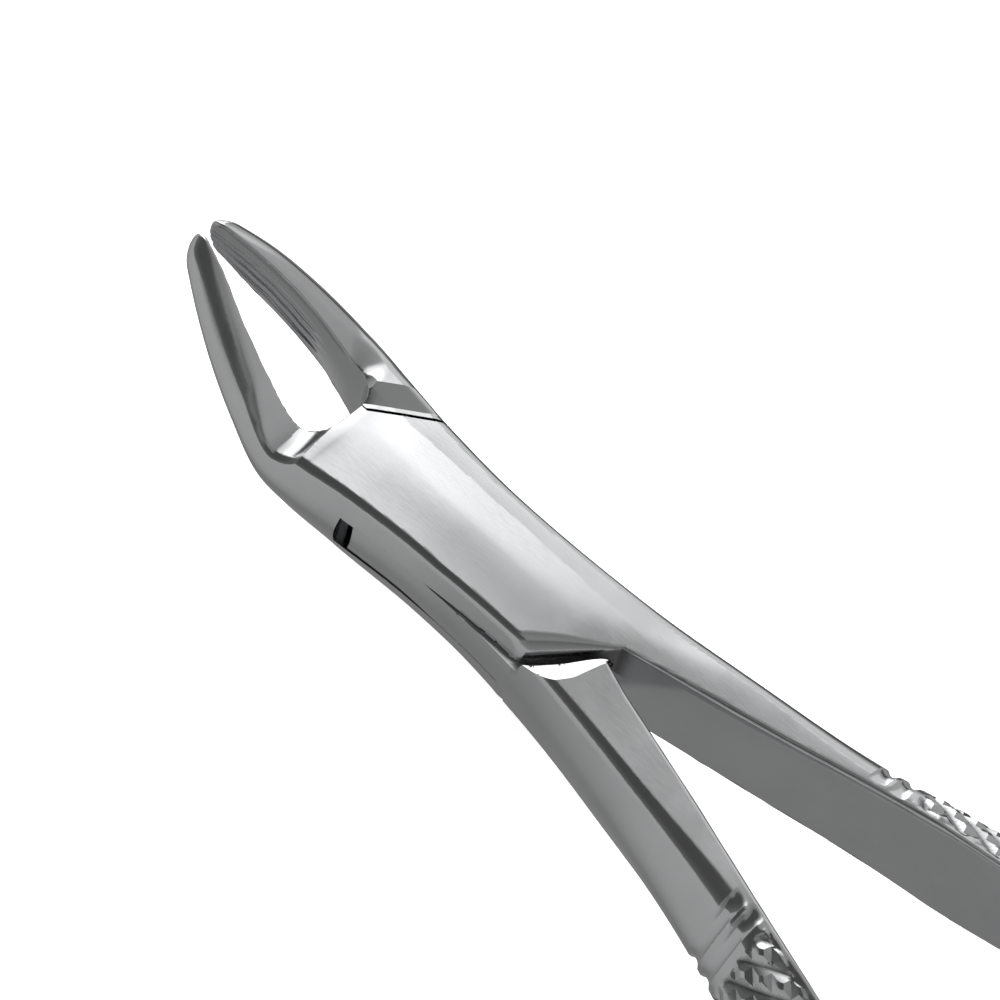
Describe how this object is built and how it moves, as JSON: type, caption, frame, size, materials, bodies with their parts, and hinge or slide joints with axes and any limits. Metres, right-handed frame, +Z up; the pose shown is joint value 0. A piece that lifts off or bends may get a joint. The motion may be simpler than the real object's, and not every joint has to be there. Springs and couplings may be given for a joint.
{
  "type": "dental extraction forceps",
  "caption": "Slender hinged hand forceps with a box joint, upswept hollow beaks and long bowed handles, for gripping and drawing upper teeth.",
  "frame": {"origin": "on the pivot axis, at the flat ground underside of the box", "axes": "+X from the pivot towards the beaks, +Y to the side of the box half's beak, +Z up along the pivot, the way the beaks curve"},
  "size_m": [0.1785, 0.0486, 0.0249],
  "materials": {
    "polished_steel": "polished stainless steel with a fine satin grain",
    "pin_steel": "stainless steel ground flush"
  },
  "bodies": {
    "box_side": {"box_half": "polished_steel", "pivot_pin": "pin_steel"},
    "tongue_side": {"tongue_half": "polished_steel"}
  },
  "joints": [
    {"name": "pivot", "type": "hinge", "parent": "box_side", "child": "tongue_side", "pos_m": [0, 0, 0.004], "axis": [0, 0, -1], "range_deg": [0, 30]}
  ]
}
